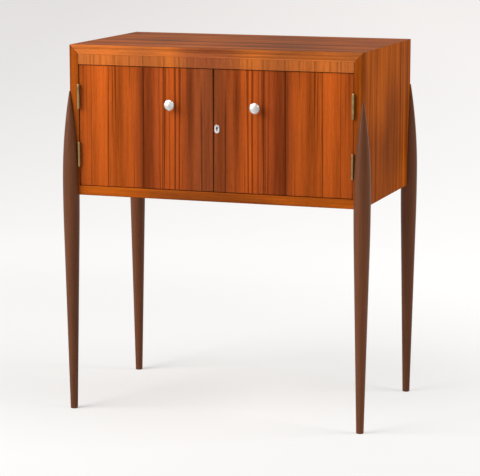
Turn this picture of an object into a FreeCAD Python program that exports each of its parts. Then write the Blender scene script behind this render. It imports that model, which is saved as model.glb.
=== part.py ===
import FreeCAD, Part
import math
import os
import re

import Sketcher

# A two-door cabinet carried on four turned legs. Each leg is a long spindle that is
# notched over one upright corner of the case, so three quarters of its round stand
# outside the case and the full round runs on below it to the floor.
# Millimetres; +Z up, the front faces -Y, the origin is on the floor midway between the legs.

SIZES = {
    # case
    "case_width": 653,
    "case_depth": 384,
    "case_height": 324,
    "underside_height": 476,
    "board_thickness": 20,
    "rail_height": 22,
    "rail_depth": 44,
    "back_thickness": 6,
    "back_lap": 9,
    # loose tongues in the mitres, and the dowels of the rail
    "spline_thickness": 4,
    "spline_width": 14,
    "spline_depth": 12,
    "spline_end": 24,
    "dowel_radius": 3,
    "dowel_reach": 12,
    "dowel_spacing": 22,
    # legs
    "leg_margin": 2,
    "foot_radius": 8,
    "foot_chamfer": 1.2,
    "leg_rise": 224,
    "leg_tip": 1.5,
    "swell_above": 14,
    "swell_length": 10,
    "taper_below": 76,
    "leg_screw_radius": 2.2,
    "leg_screw_head": 3.8,
    "leg_screw_sink": 2.4,
    "leg_screw_margin": 0.5,
    "leg_screw_cover": 2.5,
    "leg_screw_low": 9,
    "leg_screw_spacing": 22,
    # doors
    "door_thickness": 18,
    "door_gap": 1.5,
    "meeting_gap": 2,
    "door_setback": 2,
    "stop_width": 24,
    "stop_depth": 14,
    "stop_height": 8,
    "stop_spread": 200,
    "stop_clearance": 0.3,
    # butt hinges
    "hinge_length": 50,
    "hinge_end": 42,
    "leaf_thickness": 1.5,
    "leaf_depth": 16,
    "barrel_radius": 3,
    "barrel_clearance": 0.4,
    "knuckle_clearance": 0.3,
    "knuckle_play": 0.4,
    "pin_radius": 1.5,
    "pin_clearance": 0.05,
    "pin_cap_radius": 2.4,
    "pin_cap_height": 1.6,
    "hinge_screw_radius": 1.3,
    "hinge_screw_head": 2.6,
    "hinge_screw_setback": 7.5,
    "hinge_screw_length": 14,
    # knobs
    "knob_spread": 95,
    "knob_rise": 51.5,
    "knob_projection": 18.5,
    "knob_head_radius": 11.5,
    "knob_rim_height": 13,
    "knob_neck_radius": 4.6,
    "knob_flange_radius": 7,
    "knob_flange_height": 1.8,
    "knob_flare": 5.2,
    "knob_screw_radius": 2,
    "knob_screw_head": 4,
    "knob_screw_head_height": 2.2,
    "knob_screw_reach": 9,
    # lock, key plate and striking plate
    "key_rise": 6,
    "key_backset": 7,
    "key_hole_radius": 2.2,
    "key_slot_width": 2,
    "key_slot_drop": 6,
    "key_plate_radius": 5.5,
    "key_plate_centres": 7,
    "key_plate_thickness": 1.2,
    "key_plate_drop": 2,
    "key_pin_radius": 0.5,
    "key_pin_head": 0.9,
    "key_pin_head_height": 0.4,
    "key_pin_length": 7,
    "key_pin_margin": 2.7,
    "lock_width": 30,
    "lock_below": 14,
    "lock_above": 24,
    "lock_depth": 10,
    "lock_wall": 1.5,
    "lock_flange": 8,
    "post_radius": 1,
    "bolt_rise": 5,
    "bolt_height": 9,
    "bolt_thickness": 5,
    "bolt_clearance": 0.3,
    "bolt_tail_room": 1.2,
    "bolt_travel": 7,
    "talon_width": 6,
    "talon_depth": 3,
    "spring_radius": 13,
    "spring_thickness": 0.6,
    "spring_width": 4,
    "strike_thickness": 1.2,
    "strike_margin": 8,
    "strike_edge": 1,
    "strike_clearance": 0.6,
    "strike_room": 1,
    # small screws that hold the lock, the strike and the slip bolt
    "fitting_screw_radius": 1,
    "fitting_screw_head": 2,
    "fitting_screw_length": 10,
    "fitting_screw_margin": 0.5,
    # slip bolt inside the left door
    "slip_inset": 20,
    "slip_plate_length": 56,
    "slip_plate_thickness": 1.5,
    "slip_plate_drop": 4,
    "slip_rod_radius": 2.5,
    "slip_rod_drop": 1,
    "slip_clearance": 0.3,
    "slip_guide_length": 9,
    "slip_guide_wall": 1.6,
    "slip_thumb_radius": 3,
    "slip_thumb_reach": 6,
    "slip_travel": 8,
    "slip_room": 2,
    "keeper_thickness": 1.2,
    "keeper_clearance": 0.6,
    # shelf and fixed back
    "shelf_rise": 120,
    "shelf_thickness": 16,
    "shelf_setback": 44,
    "shelf_clearance": 1,
    "shelf_pin_radius": 2.5,
    "shelf_pin_reach": 9,
    "shelf_pin_inset": 45,
    "back_clearance": 0.3,
    "back_screw_radius": 1.4,
    "back_screw_head": 3,
    "back_screw_sink": 1.6,
    "back_screw_length": 17,
    "back_screw_spread": 240,
    "back_screw_near": 80,
}

doc = FreeCAD.newDocument("cabinet_on_stand")
sheet = doc.addObject("Spreadsheet::Sheet", "Sizes")
for row, (alias, value) in enumerate(SIZES.items(), start=1):
    sheet.set(f"A{row}", alias)
    sheet.set(f"B{row}", str(value))
    sheet.setAlias(f"B{row}", alias)
doc.recompute()

# Places that several pieces share, as formulas in the sheet's names
HALF_WIDTH = "(case_width / 2)"
HALF_DEPTH = "(case_depth / 2)"
FRONT = "(-case_depth / 2)"
CASE_TOP = "(underside_height + case_height)"
INNER_SIDE = "(case_width / 2 - board_thickness)"
INNER_FLOOR = "(underside_height + board_thickness)"
RAIL_BOTTOM = "(underside_height + case_height - board_thickness - rail_height)"
DOOR_FACE = "(-case_depth / 2 + door_setback)"
DOOR_BACK = "(-case_depth / 2 + door_setback + door_thickness)"
DOOR_EDGE = "(meeting_gap / 2)"
DOOR_BOTTOM = f"({INNER_FLOOR} + door_gap)"
DOOR_TOP = f"({RAIL_BOTTOM} - door_gap)"
DOOR_MIDDLE = f"(({DOOR_BOTTOM} + {DOOR_TOP}) / 2)"
LEG_RADIUS = "(board_thickness - leg_margin)"
HINGE_X = f"({INNER_SIDE} - door_gap / 2)"
HINGE_Y = "(-case_depth / 2 - barrel_radius - barrel_clearance)"
KEY_X = f"({DOOR_EDGE} + key_backset)"
KEY_Z = f"({DOOR_MIDDLE} + key_rise)"

# Ways that a rod, cone or screw can point
TURNS = {
    "+x": FreeCAD.Rotation(FreeCAD.Vector(0, 0, 1), FreeCAD.Vector(1, 0, 0)),
    "-x": FreeCAD.Rotation(FreeCAD.Vector(0, 0, 1), FreeCAD.Vector(-1, 0, 0)),
    "+y": FreeCAD.Rotation(FreeCAD.Vector(0, 0, 1), FreeCAD.Vector(0, 1, 0)),
    "-y": FreeCAD.Rotation(FreeCAD.Vector(0, 0, 1), FreeCAD.Vector(0, -1, 0)),
    "+z": FreeCAD.Rotation(),
}
ORIGIN = FreeCAD.Vector(0, 0, 0)


def tie(item, prop, formula):
    """Bind one property of a piece to a formula written in the sheet's own names."""
    item.setExpression(prop, re.sub(r"\b([a-z]+_\w+)\b", r"Sizes.\1", formula))


def place(item, point, turn=FreeCAD.Rotation()):
    """Turn a piece, then bind its place to three formulas."""
    item.Placement = FreeCAD.Placement(ORIGIN, turn)
    for axis, formula in zip("xyz", point):
        tie(item, f"Placement.Base.{axis}", formula)
    return item


def minus(formula):
    """The same distance on the other side of the middle."""
    return f"(-({formula}))"


def sided(side, low, high):
    """A span across the width, mirrored to the left where side is negative."""
    return (low, high) if side > 0 else (minus(high), minus(low))


def at_side(side, formula):
    """One place across the width, mirrored to the left where side is negative."""
    return formula if side > 0 else minus(formula)


def about(centre, half):
    """A span that lies evenly about a centre."""
    return (f"({centre}) - ({half})", f"({centre}) + ({half})")


def block(name, across, deep, high):
    """A squared piece between its limits in x, y and z."""
    item = doc.addObject("Part::Box", name)
    for prop, (low, top) in zip(("Length", "Width", "Height"), (across, deep, high)):
        tie(item, prop, f"({top}) - ({low})")
    return place(item, (across[0], deep[0], high[0]))


def rod(name, point, way, radius, length):
    """A round bar that starts at a point and runs one way."""
    item = doc.addObject("Part::Cylinder", name)
    tie(item, "Radius", radius)
    tie(item, "Height", length)
    return place(item, point, TURNS[way])


def cone(name, point, way, start_radius, end_radius, length):
    """A round taper that starts at a point and runs one way."""
    item = doc.addObject("Part::Cone", name)
    tie(item, "Radius1", start_radius)
    tie(item, "Radius2", end_radius)
    tie(item, "Height", length)
    return place(item, point, TURNS[way])


def group(name, items):
    """Like pieces kept together."""
    item = doc.addObject("Part::Compound", name)
    item.Links = items
    return item


def join(name, items):
    """Several forms that are one piece of material."""
    item = doc.addObject("Part::MultiFuse", name)
    item.Shapes = items
    return item


def cut(name, base, *tools):
    """A piece with each tool taken out of it in turn."""
    for count, tool in enumerate(tools, start=1):
        last = count == len(tools)
        item = doc.addObject("Part::Cut", name if last else f"{name}_cut_{count}")
        item.Base = base
        item.Tool = tool
        base = item
    return base


def wood_screw(name, point, way, radius, head, sink, length):
    """A countersunk screw whose flat head lies flush at its starting point."""
    shank = rod(f"{name}_shank", point, way, radius, length)
    top = cone(f"{name}_head", point, way, head, radius, sink)
    return join(name, [shank, top])


def fitting_screw(name, point, way, sink):
    """A small screw for a metal fitting, its head sunk flush in a plate."""
    return wood_screw(name, point, way, "fitting_screw_radius", "fitting_screw_head", sink,
                      "fitting_screw_length")


def plane_of(body, role):
    """One of a body's own origin planes."""
    return next(item for item in body.Origin.OriginFeatures if item.Role == role)


def new_sketch(body, name, role):
    """An empty sketch on an origin plane of its body."""
    sketch = body.newObject("Sketcher::SketchObject", name)
    sketch.AttachmentSupport = [(plane_of(body, role), "")]
    sketch.MapMode = "FlatFace"
    return sketch


def dimension(sketch, kind, places, label, formula, start):
    """A named driving dimension of a sketch, bound to a formula."""
    sketch.addConstraint(Sketcher.Constraint(kind, *places, start))
    sketch.renameConstraint(sketch.ConstraintCount - 1, label)
    tie(sketch, f"Constraints.{label}", formula)


def line(start, end):
    """A straight edge of a sketch."""
    return Part.LineSegment(FreeCAD.Vector(*start, 0), FreeCAD.Vector(*end, 0))


def arc(centre, radius, low, high):
    """An arc of a sketch, counter-clockwise between two angles."""
    circle = Part.Circle(FreeCAD.Vector(*centre, 0), FreeCAD.Vector(0, 0, 1), radius)
    return Part.ArcOfCircle(circle, low, high)


def chain(sketch, count, smooth=()):
    """Join the edges of a closed outline end to end, without a corner after a smooth edge."""
    for edge in range(count):
        following = (edge + 1) % count
        kind = "Tangent" if edge in smooth else "Coincident"
        sketch.addConstraint(Sketcher.Constraint(kind, edge, 2, following, 1))


def size(alias):
    """The present value of a size, to draw a sketch near its solved form."""
    return float(sheet.get(alias))


# Carcass boards: four boards mitred at the corners, so the veneer runs round them unbroken
def mitred_board(name, length, corner, along, inward):
    """A board mitred at both ends, its long outer face on the outside of the case."""
    body = doc.addObject("PartDesign::Body", name)
    sketch = new_sketch(body, f"{name}_outline", "XY_Plane")
    thick = size("board_thickness")
    long = size("case_height")
    outline = [
        line((0, 0), (long, 0)),
        line((long, 0), (long - thick, thick)),
        line((long - thick, thick), (thick, thick)),
        line((thick, thick), (0, 0)),
    ]
    sketch.addGeometry(outline)
    chain(sketch, len(outline))
    sketch.addConstraint(Sketcher.Constraint("Coincident", 0, 1, -1, 1))
    sketch.addConstraint(Sketcher.Constraint("Horizontal", 0))
    sketch.addConstraint(Sketcher.Constraint("Horizontal", 2))
    dimension(sketch, "DistanceX", (0, 1, 0, 2), "outer_length", length, long)
    dimension(sketch, "DistanceX", (0, 1, 2, 2), "near_mitre", "board_thickness", thick)
    dimension(sketch, "DistanceX", (2, 1, 0, 2), "far_mitre", "board_thickness", thick)
    dimension(sketch, "DistanceY", (0, 1, 2, 2), "thickness", "board_thickness", thick)
    pad = body.newObject("PartDesign::Pad", f"{name}_pad")
    pad.Profile = sketch
    tie(pad, "Length", "case_depth")
    deep = along.cross(inward)
    return place(body, corner, FreeCAD.Rotation(along, inward, deep, "XYZ"))


ACROSS = FreeCAD.Vector(1, 0, 0)
UP = FreeCAD.Vector(0, 0, 1)
top_blank = mitred_board(
    "top_blank", "case_width", (minus(HALF_WIDTH), FRONT, CASE_TOP), ACROSS, -UP)
bottom_blank = mitred_board(
    "bottom_blank", "case_width", (HALF_WIDTH, FRONT, "underside_height"), -ACROSS, UP)
left_blank = mitred_board(
    "left_blank", "case_height", (minus(HALF_WIDTH), FRONT, "underside_height"), UP, ACROSS)
right_blank = mitred_board(
    "right_blank", "case_height", (HALF_WIDTH, FRONT, CASE_TOP), -UP, -ACROSS)


def mitre_spline(name, side, level):
    """A loose tongue set square across one mitre, stopped short of both edges."""
    item = doc.addObject("Part::Box", name)
    tie(item, "Length", "spline_width")
    tie(item, "Width", "case_depth - 2 * spline_end")
    tie(item, "Height", "spline_thickness")
    lean = 45 * side * level
    turn = FreeCAD.Rotation(FreeCAD.Vector(0, 1, 0), lean)
    half_run = "(spline_width / 2 * cos(45 deg))"
    half_rise = "(spline_thickness / 2 * sin(45 deg))"
    sign = "+" if lean > 0 else "-"
    other = "-" if lean > 0 else "+"
    centre_x = at_side(side, f"({HALF_WIDTH} - spline_depth)")
    top = f"({CASE_TOP} - spline_depth)"
    centre_z = top if level > 0 else "(underside_height + spline_depth)"
    corner_x = f"{centre_x} - {half_run} {other} {half_rise}"
    corner_z = f"{centre_z} {sign} {half_run} - {half_rise}"
    return place(item, (corner_x, f"{FRONT} + spline_end", corner_z), turn)


corner_names = {
    ("top", "left"): (-1, 1),
    ("top", "right"): (1, 1),
    ("bottom", "left"): (-1, -1),
    ("bottom", "right"): (1, -1),
}
splines = {
    corner: mitre_spline(f"{corner[0]}_{corner[1]}_spline", side, level)
    for corner, (side, level) in corner_names.items()
}
mitre_splines = group("mitre_splines", list(splines.values()))

# Back panel: a thin board screwed into a rebate run round the back of the carcass
rebate = block(
    "back_rebate",
    about("0", f"{INNER_SIDE} + back_lap"),
    (f"{HALF_DEPTH} - back_thickness", HALF_DEPTH),
    (f"{INNER_FLOOR} - back_lap", f"{CASE_TOP} - board_thickness + back_lap"))
back_blank = block(
    "back_blank",
    about("0", f"{INNER_SIDE} + back_lap - back_clearance"),
    (f"{HALF_DEPTH} - back_thickness", HALF_DEPTH),
    (f"{INNER_FLOOR} - back_lap + back_clearance",
     f"{CASE_TOP} - board_thickness + back_lap - back_clearance"))
back_screw_places = [minus("back_screw_spread"), minus("back_screw_near"),
                     "back_screw_near", "back_screw_spread"]


def back_screw_row(name, height):
    """Four screws along one edge of the back panel."""
    return [
        wood_screw(f"{name}_{count}", (across, HALF_DEPTH, height), "-y", "back_screw_radius",
                   "back_screw_head", "back_screw_sink", "back_screw_length")
        for count, across in enumerate(back_screw_places, start=1)
    ]


upper_back_screws = back_screw_row("upper_back_screw", f"{CASE_TOP} - board_thickness + back_lap / 2")
lower_back_screws = back_screw_row("lower_back_screw", f"{INNER_FLOOR} - back_lap / 2")
back_screws = group("back_screws", upper_back_screws + lower_back_screws)
back_panel = cut("back_panel", back_blank, back_screws)

# Legs: spindles turned with a straight taper, a swell beside the case and a long pointed top
def turned_leg(name, side, face):
    """A leg blank, turned about the upright corner of the case that it will clasp."""
    body = doc.addObject("PartDesign::Body", f"{name}_turning")
    sketch = new_sketch(body, f"{name}_outline", "XZ_Plane")
    foot = size("foot_radius")
    wide = size("board_thickness") - size("leg_margin")
    chamfer = size("foot_chamfer")
    tip = size("leg_tip")
    under = size("underside_height")
    taper_top = under - size("taper_below")
    swell_low = under + size("swell_above")
    swell_high = swell_low + size("swell_length")
    crown = under + size("leg_rise")
    slope = 2 * (wide - foot) / (taper_top + swell_low)
    knee = foot + slope * taper_top
    blend = (swell_low - taper_top) / math.sin(math.atan(slope))
    rise = crown - swell_high
    sweep = (rise ** 2 + (wide - tip) ** 2) / (2 * (wide - tip))
    outline = [
        line((0, 0), (foot - chamfer, 0)),
        line((foot - chamfer, 0), (foot, chamfer)),
        line((foot, chamfer), (knee, taper_top)),
        arc((wide - blend, swell_low), blend, -math.atan(slope), 0),
        line((wide, swell_low), (wide, swell_high)),
        arc((wide - sweep, swell_high), sweep, 0, math.asin(rise / sweep)),
        line((tip, crown), (0, crown)),
        line((0, crown), (0, 0)),
    ]
    sketch.addGeometry(outline)
    chain(sketch, len(outline), smooth=(2,))
    for rule in (
        ("Coincident", 0, 1, -1, 1),
        ("Horizontal", 0),
        ("Horizontal", 3, 3, 3, 2),
        ("Vertical", 4),
        ("Horizontal", 5, 3, 5, 1),
        ("Horizontal", 6),
        ("Vertical", 7),
    ):
        sketch.addConstraint(Sketcher.Constraint(*rule))
    for kind, places, label, formula, start in (
        ("DistanceX", (0, 1, 0, 2), "foot_flat", "foot_radius - foot_chamfer", foot - chamfer),
        ("DistanceX", (0, 1, 1, 2), "foot_edge", "foot_radius", foot),
        ("DistanceY", (0, 1, 1, 2), "foot_bevel", "foot_chamfer", chamfer),
        ("DistanceY", (0, 1, 2, 2), "taper_end", "underside_height - taper_below", taper_top),
        ("DistanceX", (0, 1, 4, 1), "swell", LEG_RADIUS, wide),
        ("DistanceY", (0, 1, 4, 1), "swell_start", "underside_height + swell_above", swell_low),
        ("DistanceY", (4, 1, 4, 2), "swell_run", "swell_length", swell_high - swell_low),
        ("DistanceX", (0, 1, 5, 2), "point", "leg_tip", tip),
        ("DistanceY", (0, 1, 5, 2), "crown", "underside_height + leg_rise", crown),
    ):
        dimension(sketch, kind, places, label, formula, start)
    turning = body.newObject("PartDesign::Revolution", f"{name}_revolve")
    turning.Profile = sketch
    turning.ReferenceAxis = (sketch, ["V_Axis"])
    turning.Angle = 360
    outward = math.degrees(math.atan2(face, side))
    corner = (at_side(side, HALF_WIDTH), at_side(face, HALF_DEPTH), "0")
    return place(body, corner, FreeCAD.Rotation(UP, outward))


def leg_notch(name, side, face):
    """The quarter that is taken out of a leg where the corner of the case stands in it."""
    return block(
        f"{name}_notch",
        sided(side, f"{HALF_WIDTH} - 2 * board_thickness", HALF_WIDTH),
        sided(face, f"{HALF_DEPTH} - 2 * board_thickness", HALF_DEPTH),
        ("underside_height", "underside_height + 2 * leg_rise"))


SCREW_OFFSET = "(back_thickness + leg_screw_head + leg_screw_margin)"
SCREW_DEPTH = f"(sqrt({LEG_RADIUS} ^ 2 - {SCREW_OFFSET} ^ 2) - leg_screw_cover)"


def leg_screw_pair(name, side, face):
    """Two screws, one above the other, driven from inside the case into a leg."""
    across = at_side(side, INNER_SIDE)
    deep = at_side(face, f"{HALF_DEPTH} - {SCREW_OFFSET}")
    way = "+x" if side > 0 else "-x"
    heights = (f"{INNER_FLOOR} + leg_screw_low",
               f"{INNER_FLOOR} + leg_screw_low + leg_screw_spacing")
    return [
        wood_screw(f"{name}_screw_{count}", (across, deep, high), way, "leg_screw_radius",
                   "leg_screw_head", "leg_screw_sink", f"board_thickness + {SCREW_DEPTH}")
        for count, high in enumerate(heights, start=1)
    ]


LEGS = {
    "front_left_leg": (-1, -1),
    "front_right_leg": (1, -1),
    "back_left_leg": (-1, 1),
    "back_right_leg": (1, 1),
}
leg_screw_sets = {name: leg_screw_pair(name, *where) for name, where in LEGS.items()}
leg_screws = group("leg_screws", [screw for pair in leg_screw_sets.values() for screw in pair])
legs = [
    cut(name, turned_leg(name, *where), leg_notch(name, *where),
        group(f"{name}_screws", leg_screw_sets[name]))
    for name, where in LEGS.items()
]

# Hinges: two brass butts to each door, five knuckles on a loose pin, leaves let in flush
KNUCKLES = 5
LOWER_HINGE = f"({DOOR_BOTTOM} + hinge_end)"
UPPER_HINGE = f"({DOOR_TOP} - hinge_end - hinge_length)"
LEAF_BACK = f"({FRONT} + leaf_depth)"
HINGES = {
    "left_upper": (-1, UPPER_HINGE),
    "left_lower": (-1, LOWER_HINGE),
    "right_upper": (1, UPPER_HINGE),
    "right_lower": (1, LOWER_HINGE),
}


def leaf_plate(name, side, base, on_case):
    """The flat of a leaf, from the pin back along the edge that it is let into."""
    near = (INNER_SIDE, f"{INNER_SIDE} + leaf_thickness")
    far = (f"{INNER_SIDE} - door_gap - leaf_thickness", f"{INNER_SIDE} - door_gap")
    across = sided(side, *(near if on_case else far))
    return block(name, across, (HINGE_Y, LEAF_BACK), (base, f"{base} + hinge_length"))


def leaf_screws(name, side, base, on_case):
    """Three screws through a leaf into the wood behind it."""
    outward = "+x" if side > 0 else "-x"
    inward = "-x" if side > 0 else "+x"
    across = at_side(side, INNER_SIDE if on_case else f"({INNER_SIDE} - door_gap)")
    deep = f"{DOOR_FACE} + hinge_screw_setback"
    return [
        wood_screw(f"{name}_screw_{count}", (across, deep, f"{base} + hinge_length * {share}"),
                   outward if on_case else inward, "hinge_screw_radius", "hinge_screw_head",
                   "leaf_thickness", "hinge_screw_length")
        for count, share in enumerate(("1 / 6", "1 / 2", "5 / 6"), start=1)
    ]


def hinge_leaf(name, side, base, on_case, plate, screws):
    """A leaf with its own knuckles, cleared where the other leaf's knuckles turn."""
    pin_line = (at_side(side, HINGE_X), HINGE_Y, base)
    barrel = rod(f"{name}_barrel", pin_line, "+z", "barrel_radius", "hinge_length")
    bore = rod(f"{name}_bore", pin_line, "+z", "pin_radius + pin_clearance", "hinge_length")
    room = "barrel_radius + knuckle_clearance"
    gaps = [
        block(f"{name}_gap_{knuckle}", about(pin_line[0], room), about(HINGE_Y, room),
              (f"{base} + hinge_length * {knuckle} / {KNUCKLES} - knuckle_play / 2",
               f"{base} + hinge_length * {knuckle + 1} / {KNUCKLES} + knuckle_play / 2"))
        for knuckle in range(1 if on_case else 0, KNUCKLES, 2)
    ]
    rolled = join(f"{name}_rolled", [plate, barrel])
    return cut(name, rolled, group(f"{name}_gaps", gaps), bore, group(f"{name}_screws", screws))


def hinge_pin(name, side, base):
    """A pin the length of the barrel, with a cap closing each end."""
    across = at_side(side, HINGE_X)
    shank = rod(f"{name}_shank", (across, HINGE_Y, base), "+z", "pin_radius", "hinge_length")
    lower = rod(f"{name}_foot", (across, HINGE_Y, f"{base} - pin_cap_height"), "+z",
                "pin_cap_radius", "pin_cap_height")
    upper = cone(f"{name}_cap", (across, HINGE_Y, f"{base} + hinge_length"), "+z",
                 "pin_cap_radius", "pin_radius", "pin_cap_height")
    return join(name, [shank, lower, upper])


plates = {}
hinge_screws = {}
leaves = []
for hinge, (side, base) in HINGES.items():
    for owner, on_case in (("case", True), ("door", False)):
        leaf = f"{hinge}_{owner}_leaf"
        plates[leaf] = leaf_plate(f"{leaf}_plate", side, base, on_case)
        hinge_screws[leaf] = leaf_screws(leaf, side, base, on_case)
        leaves.append(hinge_leaf(leaf, side, base, on_case, plates[leaf], hinge_screws[leaf]))
hinge_pins = group(
    "hinge_pins", [hinge_pin(f"{hinge}_pin", side, base) for hinge, (side, base) in HINGES.items()])


def hinge_work(kind, hand, owner):
    """The leaf plates or the screws of one door's hinges, on the case or on the door."""
    names = [f"{hand}_{level}_{owner}_leaf" for level in ("upper", "lower")]
    if kind == "plates":
        return [plates[name] for name in names]
    return [screw for name in names for screw in hinge_screws[name]]


case_hinge_screws = group(
    "case_hinge_screws", hinge_work("screws", "left", "case") + hinge_work("screws", "right", "case"))
left_hinge_screws = group("left_door_hinge_screws", hinge_work("screws", "left", "door"))
right_hinge_screws = group("right_door_hinge_screws", hinge_work("screws", "right", "door"))

# Shelf: a loose board on four turned pins
SHELF_UNDER = f"({INNER_FLOOR} + shelf_rise)"
SHELF_FRONT = f"({FRONT} + shelf_setback)"
SHELF_BACK = f"({HALF_DEPTH} - back_thickness - shelf_clearance)"
shelf = block(
    "shelf", about("0", f"{INNER_SIDE} - shelf_clearance"), (SHELF_FRONT, SHELF_BACK),
    (SHELF_UNDER, f"{SHELF_UNDER} + shelf_thickness"))


def shelf_pin_pair(side, hand):
    """The two pins at one end of the shelf, driven into blind holes in the side."""
    start = at_side(side, f"({INNER_SIDE} - shelf_pin_reach)")
    depths = (f"{SHELF_FRONT} + shelf_pin_inset", f"{SHELF_BACK} - shelf_pin_inset")
    return [
        rod(f"{hand}_shelf_pin_{count}", (start, deep, f"{SHELF_UNDER} - shelf_pin_radius"),
            "+x" if side > 0 else "-x", "shelf_pin_radius", "2 * shelf_pin_reach")
        for count, deep in enumerate(depths, start=1)
    ]


pins = {hand: shelf_pin_pair(side, hand) for side, hand in ((-1, "left"), (1, "right"))}
shelf_pins = group("shelf_pins", pins["left"] + pins["right"])

# Top rail above the doors, dowelled between the sides, with stops that the doors close on
rail_blank = block(
    "rail_blank", about("0", INNER_SIDE), (FRONT, f"{FRONT} + rail_depth"),
    (RAIL_BOTTOM, f"{RAIL_BOTTOM} + rail_height"))


def rail_dowel_pair(side, hand):
    """The two dowels that join one end of the rail to the side."""
    start = at_side(side, f"({INNER_SIDE} - dowel_reach)")
    middle = f"({FRONT} + rail_depth / 2)"
    return [
        rod(f"{hand}_rail_dowel_{count}",
            (start, f"{middle} {sign} dowel_spacing / 2", f"{RAIL_BOTTOM} + rail_height / 2"),
            "+x" if side > 0 else "-x", "dowel_radius", "2 * dowel_reach")
        for count, sign in enumerate("-+", start=1)
    ]


dowels = {hand: rail_dowel_pair(side, hand) for side, hand in ((-1, "left"), (1, "right"))}
rail_dowels = group("rail_dowels", dowels["left"] + dowels["right"])
door_stops = group("door_stops", [
    block(f"{hand}_door_stop", about(at_side(side, "stop_spread"), "stop_width / 2"),
          (f"{DOOR_BACK} + stop_clearance", f"{DOOR_BACK} + stop_clearance + stop_depth"),
          (f"{RAIL_BOTTOM} - stop_height", RAIL_BOTTOM))
    for side, hand in ((-1, "left"), (1, "right"))
])

# Slip bolt on the inner face of the left door, which shoots up into the rail
SLIP_X = minus(f"{DOOR_EDGE} + slip_inset")
SLIP_Y = f"({DOOR_BACK} + slip_plate_thickness + slip_clearance + slip_rod_radius)"
SLIP_TOP = f"({DOOR_TOP} - slip_plate_drop)"
SLIP_LOW = f"({SLIP_TOP} - slip_plate_length)"
ROD_TOP = f"({DOOR_TOP} - slip_rod_drop)"
ROD_LENGTH = f"({ROD_TOP} - {SLIP_LOW} + slip_travel)"
GUIDE_HALF = "(slip_rod_radius + slip_clearance + slip_guide_wall)"
SCREW_ROOM = "(fitting_screw_head + fitting_screw_margin)"
slip_plate = block(
    "slip_plate_flat", about(SLIP_X, f"{GUIDE_HALF} + 2 * {SCREW_ROOM}"),
    (DOOR_BACK, f"{DOOR_BACK} + slip_plate_thickness"), (SLIP_LOW, SLIP_TOP))
bolt_plate_screws = group("bolt_plate_screws", [
    fitting_screw(f"bolt_plate_screw_{hand}_{level}",
                  (f"{SLIP_X} {sign} ({GUIDE_HALF} + {SCREW_ROOM})",
                   f"{DOOR_BACK} + slip_plate_thickness", height), "-y", "slip_plate_thickness")
    for hand, sign in (("left", "-"), ("right", "+"))
    for level, height in (("low", f"{SLIP_LOW} + slip_guide_length / 2"),
                          ("high", f"{SLIP_TOP} - slip_guide_length / 2"))
])
guide_span = about(SLIP_X, GUIDE_HALF)
guide_face = (f"{DOOR_BACK} + slip_plate_thickness",
              f"{SLIP_Y} + slip_rod_radius + slip_clearance + slip_guide_wall")
slip_guides = [
    block("slip_guide_high", guide_span, guide_face, (f"{SLIP_TOP} - slip_guide_length", SLIP_TOP)),
    block("slip_guide_low", guide_span, guide_face, (SLIP_LOW, f"{SLIP_LOW} + slip_guide_length")),
]
slip_bore = rod("slip_bore", (SLIP_X, SLIP_Y, SLIP_LOW), "+z",
                "slip_rod_radius + slip_clearance", "slip_plate_length")
door_bolt_plate = cut("door_bolt_plate", join("slip_case", [slip_plate] + slip_guides), slip_bore,
                      bolt_plate_screws)
slip_rod = rod("slip_rod", (SLIP_X, SLIP_Y, f"{ROD_TOP} - {ROD_LENGTH}"), "+z",
               "slip_rod_radius", ROD_LENGTH)
slip_thumb = rod("slip_thumb", (SLIP_X, SLIP_Y, f"({SLIP_LOW} + {SLIP_TOP}) / 2 - slip_travel / 2"),
                 "+y", "slip_thumb_radius", "slip_rod_radius + slip_thumb_reach")
door_bolt_rod = join("door_bolt_rod", [slip_rod, slip_thumb])
KEEPER_BORE = "(slip_rod_radius + keeper_clearance)"
KEEPER_HALF = f"({KEEPER_BORE} + 2 * {SCREW_ROOM})"
keeper_hole = rod("keeper_hole", (SLIP_X, SLIP_Y, RAIL_BOTTOM), "+z", KEEPER_BORE,
                  "slip_travel + slip_room")
keeper_blank = block(
    "keeper_blank", about(SLIP_X, KEEPER_HALF), about(SLIP_Y, KEEPER_HALF),
    (RAIL_BOTTOM, f"{RAIL_BOTTOM} + keeper_thickness"))
keeper_screws = group("keeper_screws", [
    fitting_screw(f"keeper_screw_{hand}",
                  (f"{SLIP_X} {sign} ({KEEPER_BORE} + {SCREW_ROOM})", SLIP_Y, RAIL_BOTTOM),
                  "+z", "keeper_thickness")
    for hand, sign in (("left", "-"), ("right", "+"))
])
door_bolt_keeper = cut("door_bolt_keeper", keeper_blank, keeper_hole, keeper_screws)
top_rail = cut("top_rail", rail_blank, keeper_blank, keeper_hole, rail_dowels, keeper_screws)

# The carcass boards, cut for the tongues, rebate, hinges, screws, pins and dowels
top_panel = cut("top_panel", top_blank, rebate,
                group("top_grooves", [splines["top", "left"], splines["top", "right"]]),
                group("top_back_holes", upper_back_screws))
bottom_panel = cut("bottom_panel", bottom_blank, rebate,
                   group("bottom_grooves", [splines["bottom", "left"], splines["bottom", "right"]]),
                   group("bottom_back_holes", lower_back_screws))


def finished_side(hand, blank):
    """One side of the case with every groove, recess and hole that it carries."""
    screws = leg_screw_sets[f"front_{hand}_leg"] + leg_screw_sets[f"back_{hand}_leg"]
    return cut(
        f"{hand}_side", blank, rebate,
        group(f"{hand}_grooves", [splines["top", hand], splines["bottom", hand]]),
        group(f"{hand}_leaf_recesses", hinge_work("plates", hand, "case")),
        group(f"{hand}_leaf_holes", hinge_work("screws", hand, "case")),
        group(f"{hand}_side_holes", screws + pins[hand] + dowels[hand]))


left_side = finished_side("left", left_blank)
right_side = finished_side("right", right_blank)

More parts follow.
